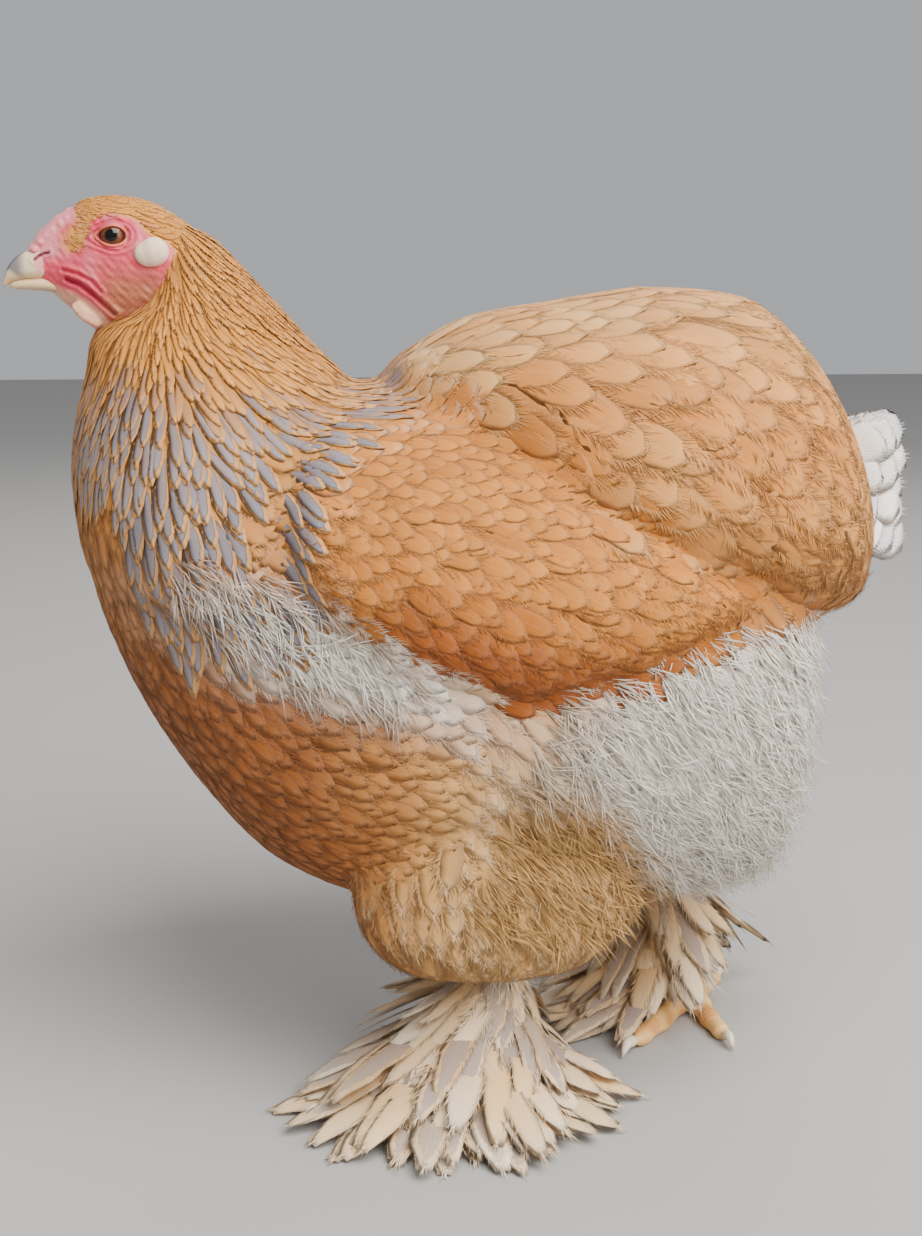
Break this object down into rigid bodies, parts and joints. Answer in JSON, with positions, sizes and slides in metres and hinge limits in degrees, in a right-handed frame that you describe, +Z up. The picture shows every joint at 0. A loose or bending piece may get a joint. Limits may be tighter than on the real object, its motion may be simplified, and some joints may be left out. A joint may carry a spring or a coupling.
{
  "type": "brahma hen",
  "caption": "Life-size standing brahma hen with a pea comb, layered buff feathering, a full cushion over a short tail and feathered feet.",
  "frame": {"origin": "on the floor under the middle of the whole bird", "axes": "+Z up, the bird faces -X and its left side faces -Y"},
  "size_m": [0.4782, 0.3122, 0.475],
  "materials": {
    "body_feather": "soft buff body feathers",
    "hackle": "narrow buff hackle feathers with lavender grey centres",
    "cushion": "broad rounded buff feathers",
    "wing": "buff wing feathers, deeper on the lower coverts",
    "fluff": "loose cream and pale grey down",
    "boot": "cream leg and toe feathers with grey centres",
    "tail": "pale grey tail feathers",
    "skin": "pink red bare skin",
    "ear_lobe": "pale cream skin",
    "bill": "horn coloured bill with a darker ridge",
    "eye": "wet orange brown eye with a dark pupil",
    "toe": "yellow scaled skin",
    "claw": "pale horn"
  },
  "bodies": {
    "root": {"bill_lower": "bill", "bill_upper": "bill", "boot_left": "boot", "boot_right": "boot", "claw_left_1": "claw", "claw_left_2": "claw", "claw_left_3": "claw", "claw_left_4": "claw", "claw_right_1": "claw", "claw_right_2": "claw", "claw_right_3": "claw", "claw_right_4": "claw", "comb": "skin", "cushion": "cushion", "ear_lobe_left": "ear_lobe", "ear_lobe_right": "ear_lobe", "eye_left": "eye", "eye_right": "eye", "fluff": "fluff", "foot_left": "toe", "foot_right": "toe", "head": "skin", "neck": "hackle", "tail": "tail", "thigh_left": "fluff", "thigh_right": "fluff", "torso": "body_feather", "wattle_left": "skin", "wattle_right": "skin", "wing_left": "wing", "wing_right": "wing"}
  },
  "joints": []
}
